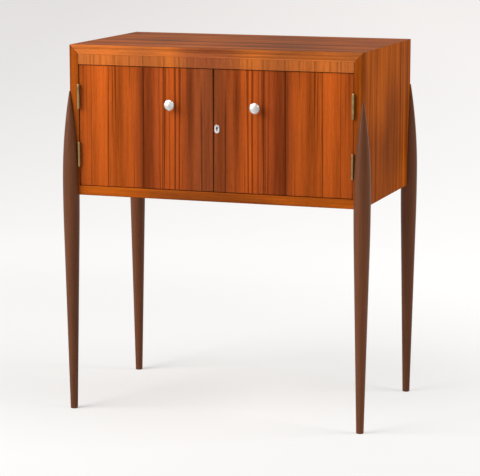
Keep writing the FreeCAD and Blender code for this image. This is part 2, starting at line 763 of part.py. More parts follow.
# Knobs: turned metal with a flange, a neck and a domed head, each held by a screw from behind
def turned_knob(name, side):
    """A knob blank standing out from the face of its door."""
    body = doc.addObject("PartDesign::Body", f"{name}_turning")
    sketch = new_sketch(body, f"{name}_outline", "XZ_Plane")
    flange = size("knob_flange_radius")
    lip = size("knob_flange_height")
    neck = size("knob_neck_radius")
    head = size("knob_head_radius")
    rim = size("knob_rim_height")
    flare = size("knob_flare")
    top = size("knob_projection")
    dome = (head ** 2 + (top - rim) ** 2) / (2 * (top - rim))
    spread = head - neck
    cove = (spread ** 2 + flare ** 2) / (2 * flare)
    edge = math.asin((top - dome - rim) / -dome)
    outline = [
        line((0, 0), (flange, 0)),
        line((flange, 0), (flange, lip)),
        line((flange, lip), (neck, lip)),
        line((neck, lip), (neck, rim - flare)),
        arc((neck + cove, rim - flare), cove, math.pi - math.asin(flare / cove), math.pi),
        arc((0, top - dome), dome, edge, math.pi / 2),
        line((0, top), (0, 0)),
    ]
    sketch.addGeometry(outline)
    for first, second in (((0, 2), (1, 1)), ((1, 2), (2, 1)), ((2, 2), (3, 1)), ((3, 2), (4, 2)),
                          ((4, 1), (5, 1)), ((5, 2), (6, 1)), ((6, 2), (0, 1))):
        sketch.addConstraint(Sketcher.Constraint("Coincident", *first, *second))
    for rule in (
        ("Coincident", 0, 1, -1, 1),
        ("Horizontal", 0),
        ("Vertical", 1),
        ("Horizontal", 2),
        ("Vertical", 3),
        ("Horizontal", 4, 3, 4, 2),
        ("Vertical", 6),
        ("PointOnObject", 5, 3, -2),
    ):
        sketch.addConstraint(Sketcher.Constraint(*rule))
    for kind, places, label, formula, start in (
        ("DistanceX", (0, 1, 0, 2), "flange", "knob_flange_radius", flange),
        ("DistanceY", (0, 1, 1, 2), "lip", "knob_flange_height", lip),
        ("DistanceX", (0, 1, 3, 2), "neck", "knob_neck_radius", neck),
        ("DistanceY", (0, 1, 3, 2), "neck_end", "knob_rim_height - knob_flare", rim - flare),
        ("DistanceX", (0, 1, 5, 1), "head", "knob_head_radius", head),
        ("DistanceY", (0, 1, 5, 1), "rim", "knob_rim_height", rim),
        ("DistanceY", (0, 1, 5, 2), "projection", "knob_projection", top),
    ):
        dimension(sketch, kind, places, label, formula, start)
    turning = body.newObject("PartDesign::Revolution", f"{name}_revolve")
    turning.Profile = sketch
    turning.ReferenceAxis = (sketch, ["V_Axis"])
    turning.Angle = 360
    where = (at_side(side, "knob_spread"), DOOR_FACE, f"{DOOR_MIDDLE} + knob_rise")
    return place(body, where, TURNS["-y"])


def knob_screw(name, side):
    """A round-headed screw from the back of the door into its knob."""
    where = (at_side(side, "knob_spread"), DOOR_BACK, f"{DOOR_MIDDLE} + knob_rise")
    shank = rod(f"{name}_shank", where, "-y", "knob_screw_radius", "door_thickness + knob_screw_reach")
    head = rod(f"{name}_head", where, "+y", "knob_screw_head", "knob_screw_head_height")
    return join(name, [shank, head])


left_knob_screw = knob_screw("left_knob_screw", -1)
right_knob_screw = knob_screw("right_knob_screw", 1)
left_knob = cut("left_knob", turned_knob("left_knob", -1), left_knob_screw)
right_knob = cut("right_knob", turned_knob("right_knob", 1), right_knob_screw)

# Lock: a box let into the back of the right door under a screwed plate, its bolt sliding into the left door
LOCK_ACROSS = (DOOR_EDGE, f"{DOOR_EDGE} + lock_width")
LOCK_FACE = f"({DOOR_BACK} - lock_depth)"
LOCK_REAR = f"({DOOR_BACK} - lock_wall)"
LOCK_HIGH = (f"{KEY_Z} - lock_below", f"{KEY_Z} + lock_above")
HOLLOW_ACROSS = (f"{DOOR_EDGE} + lock_wall", f"{DOOR_EDGE} + lock_width - lock_wall")
HOLLOW_HIGH = (f"{KEY_Z} - lock_below + lock_wall", f"{KEY_Z} + lock_above - lock_wall")
BOLT_Y = f"({DOOR_BACK} - lock_depth / 2)"
BOLT_HIGH = (f"{KEY_Z} + bolt_rise", f"{KEY_Z} + bolt_rise + bolt_height")


def eased(span, room):
    """A span widened by the same room at both ends."""
    return (f"{span[0]} - ({room})", f"{span[1]} + ({room})")


keyhole_round = rod("keyhole_round", (KEY_X, f"{DOOR_FACE} - key_plate_thickness", KEY_Z), "+y",
                    "key_hole_radius", "key_plate_thickness + door_thickness - lock_depth + lock_wall")
keyhole_slot = block(
    "keyhole_slot", about(KEY_X, "key_slot_width / 2"),
    (f"{DOOR_FACE} - key_plate_thickness", f"{LOCK_FACE} + lock_wall"),
    (f"{KEY_Z} - key_slot_drop", KEY_Z))
keyhole = join("keyhole", [keyhole_round, keyhole_slot])
lock_blank = block("lock_blank", LOCK_ACROSS, (LOCK_FACE, LOCK_REAR), LOCK_HIGH)
lock_hollow = block("lock_hollow", HOLLOW_ACROSS, (f"{LOCK_FACE} + lock_wall", LOCK_REAR), HOLLOW_HIGH)
bolt_span = about(BOLT_Y, "bolt_thickness / 2")
bolt_slot = block("bolt_slot", (DOOR_EDGE, f"{DOOR_EDGE} + lock_wall"),
                  eased(bolt_span, "bolt_clearance"), eased(BOLT_HIGH, "bolt_clearance"))
lock_case = cut("lock_case", lock_blank, lock_hollow, bolt_slot, keyhole)
cover_plate = block("cover_plate", (DOOR_EDGE, f"{DOOR_EDGE} + lock_width + lock_flange"),
                    (LOCK_REAR, DOOR_BACK), eased(LOCK_HIGH, "lock_flange"))
key_post = rod("key_post", (KEY_X, LOCK_REAR, KEY_Z), "-y", "post_radius", "lock_depth - lock_wall")
lock_screws = group("lock_screws", [
    fitting_screw(f"lock_screw_{hand}_{level}", (across, DOOR_BACK, height), "-y", "lock_wall")
    for hand, across in (("near", f"{DOOR_EDGE} + lock_flange"), ("far", f"{DOOR_EDGE} + lock_width"))
    for level, height in zip(("low", "high"), eased(LOCK_HIGH, "lock_flange / 2"))
])
lock_cover = cut("lock_cover", join("lock_plate", [cover_plate, key_post]), lock_screws)
bolt_bar = block(
    "bolt_bar",
    (f"{DOOR_EDGE} + bolt_clearance", f"{HOLLOW_ACROSS[1]} - bolt_tail_room"), bolt_span, BOLT_HIGH)
bolt_talon = block("bolt_talon", about(f"{KEY_X} + bolt_travel / 2", "talon_width / 2"), bolt_span,
                   (BOLT_HIGH[0], f"{BOLT_HIGH[0]} + talon_depth"))
lock_bolt = cut("lock_bolt", bolt_bar, bolt_talon)
spring_centre = (f"{DOOR_EDGE} + lock_width / 2", f"{BOLT_Y} - spring_width / 2",
                 f"{BOLT_HIGH[1]} + bolt_clearance + spring_radius")
spring_bow = rod("spring_bow", spring_centre, "+y", "spring_radius", "spring_width")
spring_inside = rod("spring_inside", spring_centre, "+y", "spring_radius - spring_thickness", "spring_width")
spring_above = block(
    "spring_above", about(spring_centre[0], "2 * spring_radius"), about(BOLT_Y, "spring_width"),
    (HOLLOW_HIGH[1], f"{spring_centre[2]} + 2 * spring_radius"))
lock_spring = cut("lock_spring", spring_bow, spring_inside, spring_above)

# Striking plate let into the meeting edge of the left door
strike_blank = block(
    "strike_blank", (f"-{DOOR_EDGE} - strike_thickness", f"-{DOOR_EDGE}"),
    eased(bolt_span, "strike_clearance + strike_edge"), eased(BOLT_HIGH, "strike_margin"))
strike_mortise = block(
    "strike_mortise", (f"-{DOOR_EDGE} - bolt_travel - strike_room", f"-{DOOR_EDGE}"),
    eased(bolt_span, "strike_clearance"), eased(BOLT_HIGH, "strike_clearance"))
strike_screws = group("strike_screws", [
    fitting_screw(f"strike_screw_{level}", (f"-{DOOR_EDGE}", BOLT_Y, height), "-x", "strike_thickness")
    for level, height in zip(("low", "high"), eased(BOLT_HIGH, "strike_margin / 2"))
])
strike_plate = cut("strike_plate", strike_blank, strike_mortise, strike_screws)

# Key plate: a small upright oval on the face of the right door
key_body = doc.addObject("PartDesign::Body", "key_plate_blank")
key_sketch = new_sketch(key_body, "key_plate_outline", "XZ_Plane")
oval = size("key_plate_radius")
reach = size("key_plate_centres") / 2
key_sketch.addGeometry([
    arc((0, reach), oval, 0, math.pi),
    line((-oval, reach), (-oval, -reach)),
    arc((0, -reach), oval, math.pi, 2 * math.pi),
    line((oval, -reach), (oval, reach)),
])
for rule in (
    ("Tangent", 0, 2, 1, 1),
    ("Tangent", 1, 2, 2, 1),
    ("Tangent", 2, 2, 3, 1),
    ("Tangent", 3, 2, 0, 1),
    ("Vertical", 1),
    ("Symmetric", 0, 3, 2, 3, -1, 1),
):
    key_sketch.addConstraint(Sketcher.Constraint(*rule))
dimension(key_sketch, "Radius", (0,), "oval_radius", "key_plate_radius", oval)
dimension(key_sketch, "DistanceY", (2, 3, 0, 3), "oval_centres", "key_plate_centres", 2 * reach)
key_pad = key_body.newObject("PartDesign::Pad", "key_plate_pad")
key_pad.Profile = key_sketch
tie(key_pad, "Length", "key_plate_thickness")
place(key_body, (KEY_X, DOOR_FACE, f"{KEY_Z} - key_plate_drop"))


def key_pin(name, height):
    """A round-headed pin driven through the key plate into the door."""
    where = (KEY_X, f"{DOOR_FACE} - key_plate_thickness", height)
    shank = rod(f"{name}_shank", where, "+y", "key_pin_radius", "key_pin_length")
    head = rod(f"{name}_head", where, "-y", "key_pin_head", "key_pin_head_height")
    return join(name, [shank, head])


pin_heights = about(f"{KEY_Z} - key_plate_drop", "key_plate_centres / 2 + key_plate_radius - key_pin_margin")
key_plate_pins = group("key_plate_pins", [
    key_pin(f"key_pin_{level}", height) for level, height in zip(("low", "high"), pin_heights)])
key_escutcheon = cut("key_escutcheon", key_body, keyhole, key_plate_pins)

# Doors: flat veneered boards, inset between the sides and a little behind their edges
DOOR_ACROSS = (DOOR_EDGE, f"{INNER_SIDE} - door_gap")
left_blank_door = block("left_door_blank", sided(-1, *DOOR_ACROSS), (DOOR_FACE, DOOR_BACK),
                        (DOOR_BOTTOM, DOOR_TOP))
right_blank_door = block("right_door_blank", sided(1, *DOOR_ACROSS), (DOOR_FACE, DOOR_BACK),
                         (DOOR_BOTTOM, DOOR_TOP))
left_door = cut("left_door", left_blank_door,
                group("left_door_recesses", hinge_work("plates", "left", "door")),
                left_hinge_screws, left_knob_screw, strike_blank, strike_mortise, strike_screws,
                bolt_plate_screws)
right_door = cut("right_door", right_blank_door,
                 group("right_door_recesses", hinge_work("plates", "right", "door")),
                 right_hinge_screws, right_knob_screw, lock_blank, cover_plate, lock_screws, keyhole,
                 key_plate_pins)

NODES = [
    top_panel, bottom_panel, left_side, right_side, back_panel, top_rail, mitre_splines, rail_dowels,
    back_screws, door_stops, shelf, shelf_pins, *legs, leg_screws, *leaves, hinge_pins,
    case_hinge_screws, left_hinge_screws, right_hinge_screws, left_door, right_door, left_knob,
    right_knob, left_knob_screw, right_knob_screw, key_escutcheon, key_plate_pins, lock_case, lock_cover,
    lock_screws, lock_spring, lock_bolt, strike_plate, strike_screws, door_bolt_plate, bolt_plate_screws,
    door_bolt_rod, door_bolt_keeper, keeper_screws,
]

doc.recompute()
for item in doc.Objects:
    if "Invalid" in item.State or "Error" in item.State:
        raise RuntimeError(f"{item.Label} could not be built: {item.State}")
for item in NODES:
    if item.Shape.isNull() or not item.Shape.isValid() or not item.Shape.Solids:
        raise RuntimeError(f"{item.Label} has no sound shape")

os.makedirs("parts", exist_ok=True)
for item in NODES:
    item.Shape.exportStep(f"parts/{item.Label}.step")
    print(f"{item.Label}: {len(item.Shape.Solids)} solid(s), {item.Shape.Volume:.1f} mm3")
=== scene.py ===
import math

import bpy
import numpy as np
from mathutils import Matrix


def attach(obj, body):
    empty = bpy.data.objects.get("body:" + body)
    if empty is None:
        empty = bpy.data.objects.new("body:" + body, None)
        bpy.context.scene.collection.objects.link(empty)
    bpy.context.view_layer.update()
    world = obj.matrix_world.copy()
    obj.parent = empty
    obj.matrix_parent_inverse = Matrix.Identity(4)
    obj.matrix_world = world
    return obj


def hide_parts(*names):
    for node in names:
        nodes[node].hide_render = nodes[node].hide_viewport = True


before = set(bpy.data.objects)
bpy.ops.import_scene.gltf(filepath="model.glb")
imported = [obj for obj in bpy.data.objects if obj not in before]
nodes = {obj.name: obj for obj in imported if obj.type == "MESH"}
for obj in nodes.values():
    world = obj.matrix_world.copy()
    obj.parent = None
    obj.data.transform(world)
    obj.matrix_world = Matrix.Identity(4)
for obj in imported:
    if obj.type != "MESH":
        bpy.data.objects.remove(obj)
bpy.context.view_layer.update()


# The case: four boards mitred at the corners and faced with striped rosewood veneer under a satin
# lacquer. The grain climbs the sides and runs on across the top, whose front edge has a paler
# facing; the edges are a little rubbed. The top's veneer is coloured darker than the sides',
# as painted shade.
FRONT, FACING = -0.192, (0.0008, 0.0004)
HALF_FRONT, LEAN, LEAN_REACH = 0.3265, 0.016, 0.200
DRIFT_SWAY, STRIPE_SWAY = 1.6, 0.9
DRIFT_BEND, STRIPE_BEND = 0.055, 0.022
GRAIN = {"z": (0, 1, 2), "x": (2, 1, 0)}

# What a sheet shows, by cycles per metre across the grain and along it, octaves and start.
DRIFT = (2.6, 3.0, 2.0, 4.1)
STRIPE = (34.0, 1.3, 5.0, 1.7)
LINE = (150.0, 1.1, 2.0, 6.6)
FIBRE = (330.0, 7.0, 3.0, 9.3)
PORE = (1300.0, 60.0, 1.0, 2.9)

# How far each of them darkens or lightens the colour, and how far a door's colour is painted
# darker low down and lighter high up, as painted shade and painted light.
STRIPE_TONES = ((0.30, 0.48), (0.42, 0.84), (0.50, 1.11), (0.58, 1.24), (0.72, 1.52))
LINE_TONES = ((0.37, 0.40), (0.455, 1.0))
FIBRE_TONES = ((0.34, 0.78), (0.52, 1.0), (0.70, 1.10))
PORE_TONES = ((0.30, 0.45), (0.38, 1.0))
PAINTED_LIGHT_CLIMB_TONES = ((0.0, 0.955), (1.0, 1.055))
FIBRE_SHARE, PORE_SHARE, PORE_DEPTH = 0.65, 0.55, 0.5
LACQUER, BARE_ROSEWOOD = 0.33, (0.42, 0.17, 0.055)


def node_in(material, kind, settings=(), **wires):
    """Put one node into a finish; settings are its own options, wires its inputs by name."""
    made = material.node_tree.nodes.new(kind)
    for name, value in dict(settings).items():
        setattr(made, name, value)
    for name, value in wires.items():
        socket = made.inputs[int(name[1:]) if name[1:].isdigit() else name.replace("_", " ")]
        if isinstance(value, bpy.types.NodeSocket):
            material.node_tree.links.new(value, socket)
        else:
            socket.default_value = value
    return made.outputs


def reckon(material, operation, first, second=0.0, third=0.0):
    """One sum on two or three values, given as wires or plain numbers."""
    return node_in(material, "ShaderNodeMath", {"operation": operation},
                   i0=first, i1=second, i2=third)[0]


def between(material, value, span, out=(0.0, 1.0), way="LINEAR"):
    """A value carried from one span to another, and held at its ends."""
    return node_in(material, "ShaderNodeMapRange", {"interpolation_type": way}, Value=value,
                   i1=span[0], i2=span[1], i3=out[0], i4=out[1])[0]


def sway(material, noise, reach, about):
    """A value moved to and fro by a noise, by up to half of a reach each way."""
    centred = reckon(material, "SUBTRACT", noise, 0.5)
    return reckon(material, "MULTIPLY_ADD", centred, reach, about)


def blank_finish(name):
    """A finish with only its surface shader, and its place across, along and up in metres."""
    material = bpy.data.materials.new(name)
    material.use_nodes = True
    spot = node_in(material, "ShaderNodeTexCoord")["Object"]
    place = node_in(material, "ShaderNodeSeparateXYZ", Vector=spot)
    return material, material.node_tree.nodes["Principled BSDF"], place


def ramp_in(material, value, stops):
    """Colours, or greys, blended between stops along a value from 0 to 1."""
    node = material.node_tree.nodes.new("ShaderNodeValToRGB")
    while len(node.color_ramp.elements) < len(stops):
        node.color_ramp.elements.new(0.5)
    for element, (at, colour) in zip(node.color_ramp.elements, stops):
        element.position = at
        element.color = (*(colour if isinstance(colour, tuple) else (colour,) * 3), 1.0)
    material.node_tree.links.new(value, node.inputs["Fac"])
    return node.outputs["Color"]


def streaks(material, spot, pattern, mirrored=False):
    """Noise drawn out along the grain by the pattern's cycles across it and along it. Mirrored, it
    runs the same both ways from the middle."""
    across, along, octaves, start = pattern
    side = reckon(material, "ABSOLUTE", spot[0]) if mirrored else spot[0]
    parts = [reckon(material, "MULTIPLY_ADD", value, rate, start)
             for value, rate in ((side, across), (spot[1], across), (spot[2], along))]
    where = node_in(material, "ShaderNodeCombineXYZ", X=parts[0], Y=parts[1], Z=parts[2])[0]
    return node_in(material, "ShaderNodeTexNoise", Vector=where, Scale=1.0, Detail=octaves,
                   Roughness=0.62)["Fac"]


def mixed(material, amount, first, second, way="MIX"):
    """Two colours blended by an amount."""
    return node_in(material, "ShaderNodeMix", {"data_type": "RGBA", "blend_type": way},
                   i0=amount, i6=first, i7=second)[2]


def toned(material, strength, colour, value, tones):
    """A colour darkened and lightened by tones along a value, at some strength."""
    return mixed(material, strength, colour, ramp_in(material, value, tones), "MULTIPLY")


def rubbed(material, colour, bare, rate, most):
    """A colour worn to the bare wood by a rate of how far the surface turns within a millimetre,
    which is 0 on the flat and more on an edge, and at most so far."""
    soft = node_in(material, "ShaderNodeBevel", {"samples": 4}, Radius=0.0010)[0]
    flat = node_in(material, "ShaderNodeNewGeometry")["Normal"]
    turn = node_in(material, "ShaderNodeVectorMath", {"operation": "DOT_PRODUCT"},
                   i0=soft, i1=flat)["Value"]
    worn = reckon(material, "MULTIPLY", reckon(material, "SUBTRACT", 1.0, turn), rate)
    return mixed(material, reckon(material, "MINIMUM", worn, most), colour, (*bare, 1.0))


def lay_on(material, shader, colour, streak, gloss, spread, height, strength, depth):
    """Wire a colour to the surface, a roughness that a streak spreads about a gloss, and a relief
    of a height, with its strength and its depth in metres."""
    rough = reckon(material, "MULTIPLY_ADD", streak, spread, gloss - spread / 2)
    relief = node_in(material, "ShaderNodeBump", Strength=strength, Distance=depth,
                     Height=height)[0]
    for wire, socket in ((colour, "Base Color"), (rough, "Roughness"), (relief, "Normal")):
        material.node_tree.links.new(wire, shader.inputs[socket])


def veneer(name, grain, figure, mirrored=False, polish=0.0015, facing=None):
    """Rosewood: figure gives the colours of its broad stripes by a place from 0 to 1 across them.

    The stripes drift with a slow noise; finer stripes, dark lines, fibres and short dark pores,
    each drawn out along the grain, vary them. grain names the axis that the fibres follow. A facing
    is the figure of the strip over the front edge, and takes over in the last millimetre there.
    """
    material, shader, place = blank_finish(name)
    spot = [place[axis] for axis in GRAIN[grain]]
    drift, stripe, line, fibre, pore = (streaks(material, spot, pattern, mirrored)
                                        for pattern in (DRIFT, STRIPE, LINE, FIBRE, PORE))
    colour = ramp_in(material, figure["place"](material, spot, drift, stripe), figure["stripes"])
    if facing:
        across = facing["place"](material, place, drift, stripe)
        near = between(material, place["Y"], (FRONT + FACING[0], FRONT + FACING[1]))
        colour = mixed(material, near, colour, ramp_in(material, across, facing["stripes"]))
    # Painted light and shade: a door is coloured darker towards its foot and lighter towards its
    # top.
    if "height" in figure:
        painted_light_climb = between(material, place["Z"], figure["height"])
        colour = toned(material, 1.0, colour, painted_light_climb, PAINTED_LIGHT_CLIMB_TONES)
    colour = toned(material, figure["contrast"], colour, stripe, STRIPE_TONES)
    colour = toned(material, FIBRE_SHARE, colour, fibre, FIBRE_TONES)
    colour = toned(material, figure["lines"], colour, line, LINE_TONES)
    dark = ramp_in(material, pore, PORE_TONES)
    colour = mixed(material, PORE_SHARE, colour, dark, "MULTIPLY")
    colour = rubbed(material, colour, BARE_ROSEWOOD, rate=0.9, most=0.35)
    height = reckon(material, "MULTIPLY_ADD", dark, PORE_DEPTH, fibre)
    lay_on(material, shader, colour, fibre, LACQUER, spread=0.14,
           height=height, strength=0.10, depth=0.0003)
    shader.inputs["Specular IOR Level"].default_value = polish
    return material


def dress(material, *names):
    """Give CAD nodes their finish."""
    for name in names:
        for slot in nodes[name].material_slots:
            slot.material = material


def marked_edges(shortest, sharp_turn=math.radians(30), square_turn=math.radians(50)):
    """Every turn past the sharp one stays a sharp edge, and each edge longer than the shortest that
    turns past the square one gets a weight of 1, so that the rims of screw holes aren't eased."""
    marks = bpy.data.node_groups.new("marked edges", "GeometryNodeTree")
    for way in ("INPUT", "OUTPUT"):
        marks.interface.new_socket("Geometry", in_out=way, socket_type="NodeSocketGeometry")

    def put(kind, *wires, **settings):
        made = marks.nodes.new(kind)
        for name, value in settings.items():
            setattr(made, name, value)
        for name, value in wires:
            if isinstance(value, bpy.types.NodeSocket):
                marks.links.new(value, made.inputs[name])
            else:
                made.inputs[name].default_value = value
        return made.outputs

    def past(value, limit):
        return put("ShaderNodeMath", (0, value), (1, limit), operation="GREATER_THAN")[0]

    shape = put("NodeGroupInput")[0]
    ends = put("GeometryNodeInputMeshEdgeVertices")
    turn = put("GeometryNodeInputMeshEdgeAngle")["Unsigned Angle"]
    length = put("ShaderNodeVectorMath", (0, ends["Position 1"]), (1, ends["Position 2"]),
                 operation="DISTANCE")["Value"]
    weight = put("ShaderNodeMath", (0, past(length, shortest)), (1, past(turn, square_turn)),
                 operation="MULTIPLY")[0]
    shape = put("GeometryNodeRemoveAttribute", ("Geometry", shape), ("Name", "custom_normal"))[0]
    shape = put("GeometryNodeSetShadeSmooth", ("Geometry", shape), ("Shade Smooth", True),
                domain="FACE")[0]
    shape = put("GeometryNodeSetShadeSmooth", ("Geometry", shape),
                ("Selection", past(turn, sharp_turn)), ("Shade Smooth", False), domain="EDGE")[0]
    shape = put("GeometryNodeStoreNamedAttribute", ("Geometry", shape),
                ("Name", "bevel_weight_edge"), ("Value", weight),
                data_type="FLOAT", domain="EDGE")[0]
    put("NodeGroupOutput", (0, shape))
    return marks


def soft_edges(width, *names, shortest=0.005):
    """Break the long sharp edges of pieces, as a finished board's are."""
    marks = marked_edges(shortest)
    for name in names:
        weld = nodes[name].modifiers.new("joined", "WELD")
        weld.merge_threshold = 0.00001
        nodes[name].modifiers.new("marked edges", "NODES").node_group = marks
        bevel = nodes[name].modifiers.new("eased", "BEVEL")
        bevel.width = width
        bevel.segments = 2
        bevel.limit_method = "WEIGHT"
        bevel.use_clamp_overlap = False
        bevel.harden_normals = True


def plain_sheet(material, spot, drift, stripe):
    """A place that sways about one half, between the dark and light of one sheet of veneer."""
    return sway(material, stripe, STRIPE_SWAY, sway(material, drift, DRIFT_SWAY, 0.5))


def mirrored_sheets(material, spot, drift, stripe):
    """The distance from the seam of the figure as a share of the half width, bent by both noises.
    The figure leans to the left, most at the doors' meeting line and not at all past its reach."""
    lean = reckon(material, "MULTIPLY_ADD", reckon(material, "ABSOLUTE", spot[0]),
                  -LEAN / LEAN_REACH, LEAN)
    lean = reckon(material, "MAXIMUM", lean, 0.0)
    distance = reckon(material, "ABSOLUTE", reckon(material, "ADD", spot[0], lean))
    bent = sway(material, drift, DRIFT_BEND, distance)
    bent = sway(material, stripe, STRIPE_BEND, bent)
    return reckon(material, "DIVIDE", bent, HALF_FRONT)


side_figure = {
    "place": plain_sheet,
    "stripes": ((0.15, (0.173, 0.040, 0.0074)), (0.50, (0.326, 0.068, 0.0063)),
                (0.85, (0.459, 0.101, 0.0084))),
    "contrast": 0.7,
    "lines": 0.6,
}
# The top's colours are the sides' colours made about a seventh darker: painted shade on the top.
painted_shade_top_figure = {
    "place": plain_sheet,
    "stripes": ((0.15, (0.148, 0.037, 0.0072)), (0.50, (0.276, 0.062, 0.0061)),
                (0.85, (0.388, 0.092, 0.0082))),
    "contrast": 0.7,
    "lines": 0.6,
}
edge_figure = {
    "place": mirrored_sheets,
    "stripes": ((0.00, (0.294, 0.073, 0.0249)), (0.15, (0.331, 0.086, 0.0258)),
                (0.29, (0.511, 0.132, 0.0232)), (0.47, (0.382, 0.104, 0.0258)),
                (0.74, (0.540, 0.138, 0.0256)), (1.00, (0.440, 0.124, 0.0300))),
    "contrast": 0.27,
    "lines": 0.5,
}
dress(veneer("side veneer", "z", side_figure), "left_side", "right_side")
dress(veneer("top veneer with painted shade", "x", painted_shade_top_figure, facing=edge_figure), "top_panel")
dress(veneer("underside veneer", "x", side_figure), "bottom_panel")
soft_edges(0.0006, "left_side", "right_side", "top_panel", "bottom_panel")


# Joints inside the case: plywood tongues across the mitres and beech dowels at the rail's ends,
# glued in and closed up when the boards are brought together.
TIMBER_STRIPE = (22.0, 1.1, 4.0, 5.2)
TIMBER_SHARE, TIMBER_TONES = 0.7, ((0.32, 0.72), (0.54, 1.0), (0.72, 1.08))


def plain_wood(name, low, high, fine=260.0, gloss=0.55, grain="z"):
    """A plain timber between two colours, with fibres along the axis that grain names."""
    material, shader, place = blank_finish(name)
    spot = [place[axis] for axis in GRAIN[grain]]
    fibre = streaks(material, spot, (fine, 6.0, 3.0, 0.0))
    stripe = streaks(material, spot, TIMBER_STRIPE)
    colour = ramp_in(material, stripe, ((0.30, low), (0.70, high)))
    colour = toned(material, TIMBER_SHARE, colour, fibre, TIMBER_TONES)
    bare = tuple(min(1.0, 1.5 * value) for value in high)
    colour = rubbed(material, colour, bare, rate=1.0, most=0.25)
    lay_on(material, shader, colour, fibre, gloss, spread=0.16,
           height=fibre, strength=0.12, depth=0.0003)
    shader.inputs["Specular IOR Level"].default_value = 0.15
    return material


dress(plain_wood("beech", (0.46, 0.28, 0.14), (0.62, 0.42, 0.24)), "mitre_splines", "rail_dowels")


# Back, shelf and door stops: plain lacquered boards of a brown wood inside the case. The back is
# screwed into its rebate, the shelf lies loose on four brass pins, the stops are glued to the rail.
INNER_WOOD = ((0.215, 0.095, 0.038), (0.320, 0.150, 0.062), 220.0, 0.48)
dress(plain_wood("lining", *INNER_WOOD), "back_panel")
dress(plain_wood("shelf wood", *INNER_WOOD, grain="x"), "shelf", "door_stops")
soft_edges(0.0005, "shelf", "door_stops")


# Top rail: a strip dowelled between the sides above the doors and faced with the same mirrored
# sheets as the doors, where their stripes are fainter and lighter.
dress(veneer("rail veneer", "z", edge_figure, mirrored=True, polish=0.012), "top_rail")
soft_edges(0.0005, "top_rail")


# Legs: turned in a dark close-grained wood, each from one length, with a quarter cut away so that
# the corner of the case stands in it on a shoulder. Two screws from inside hold each leg.
FOOT, SWELL, TIP, FOOT_ROUND = 0.0080, 0.0180, 0.0015, 0.0012
SHOULDER, SLENDER, CROWN = 0.476, 0.620, 0.700
TAPER_TOP, SWELL_LOW, SWELL_HIGH = 0.400, 0.490, 0.500
LEG_X, LEG_Y = 0.3265, 0.192
FOOT_RINGS, TAPER_RINGS, SWELL_RINGS, POINT_RINGS = 5, 90, 40, 50
ROUND_STEPS, FOLD_STEPS = 109, 25


def leg_radius(height):
    """Radius at a height: a straight taper, an arc that ends upright, a parallel swell, and an arc
    drawn in to the point; the lowest millimetre is rounded under."""
    slope = 2 * (SWELL - FOOT) / (TAPER_TOP + SWELL_LOW)
    blend = (SWELL_LOW - TAPER_TOP) / math.sin(math.atan(slope))
    rise = CROWN - SWELL_HIGH
    sweep = (rise ** 2 + (SWELL - TIP) ** 2) / (2 * (SWELL - TIP))
    below = np.clip(SWELL_LOW - height, 0, SWELL_LOW - TAPER_TOP)
    above = np.clip(height - SWELL_HIGH, 0, rise)
    taper = np.clip(TAPER_TOP - height, 0, None) * slope
    under = np.clip(FOOT_ROUND - height, 0, None)
    radius = SWELL - (blend - np.sqrt(blend ** 2 - below ** 2)) - taper
    radius = radius - (sweep - np.sqrt(sweep ** 2 - above ** 2))
    return radius - (FOOT_ROUND - np.sqrt(np.clip(FOOT_ROUND ** 2 - under ** 2, 0, None)))


def mesh_piece(name, points, faces, material, angle=40):
    """A piece from its points and faces, smooth but for edges sharper than an angle."""
    mesh = bpy.data.meshes.new(name)
    mesh.from_pydata(points.tolist(), [], faces)
    mesh.materials.append(material)
    mesh.shade_smooth()
    mesh.set_sharp_from_angle(angle=math.radians(angle))
    piece = bpy.data.objects.new(name, mesh)
    bpy.context.scene.collection.objects.link(piece)
    return piece


def ring_faces(rows, columns, flip=False):
    """Quads between neighbouring rings of a closed tube, with a cap on the first and last ring."""
    row, column = np.meshgrid(np.arange(rows - 1), np.arange(columns), indexing="ij")
    near = row * columns + column
    far = row * columns + (column + 1) % columns
    quads = np.stack([near, far, far + columns, near + columns], axis=-1).reshape(-1, 4)
    first = np.arange(columns)[::-1]
    last = np.arange(columns) + (rows - 1) * columns
    if flip:
        quads, first, last = quads[:, ::-1], first[::-1], last[::-1]
    return quads.tolist() + [first.tolist(), last.tolist()]


def clasping_leg(name, side, face, material):
    """Rings of leg_radius: angle runs three quarters round outside the case, and the last quarter
    follows the round below the shoulder and folds in to the axis above it."""
    low = np.concatenate([np.linspace(0, FOOT_ROUND, FOOT_RINGS)[:-1],
                          np.linspace(FOOT_ROUND, SHOULDER, TAPER_RINGS)])
    high = np.concatenate([np.linspace(SHOULDER, SLENDER, SWELL_RINGS)[:-1],
                           np.linspace(SLENDER, CROWN, POINT_RINGS)])
    heights = np.concatenate([low, high])[:, None]
    notched = (np.arange(len(heights)) >= len(low))[:, None]
    radius = leg_radius(heights)
    outer = np.linspace(-math.pi / 2, math.pi, ROUND_STEPS)[None, :]
    share = np.linspace(0, 1, FOLD_STEPS)[None, 1:-1]
    turn = math.pi + share * math.pi / 2
    fold_x = -radius * np.clip(1 - 2 * share, 0, 1)
    fold_y = -radius * np.clip(2 * share - 1, 0, 1)
    inner_x = np.where(notched, fold_x, radius * np.cos(turn))
    inner_y = np.where(notched, fold_y, radius * np.sin(turn))
    across = np.concatenate([radius * np.cos(outer), inner_x], axis=1)
    deep = np.concatenate([radius * np.sin(outer), inner_y], axis=1)
    up = np.broadcast_to(heights, across.shape)
    points = np.stack([side * (LEG_X + across), face * (LEG_Y + deep), up], axis=-1)
    faces = ring_faces(len(heights), across.shape[1], flip=side * face < 0)
    return mesh_piece(name, points.reshape(-1, 3), faces, material)


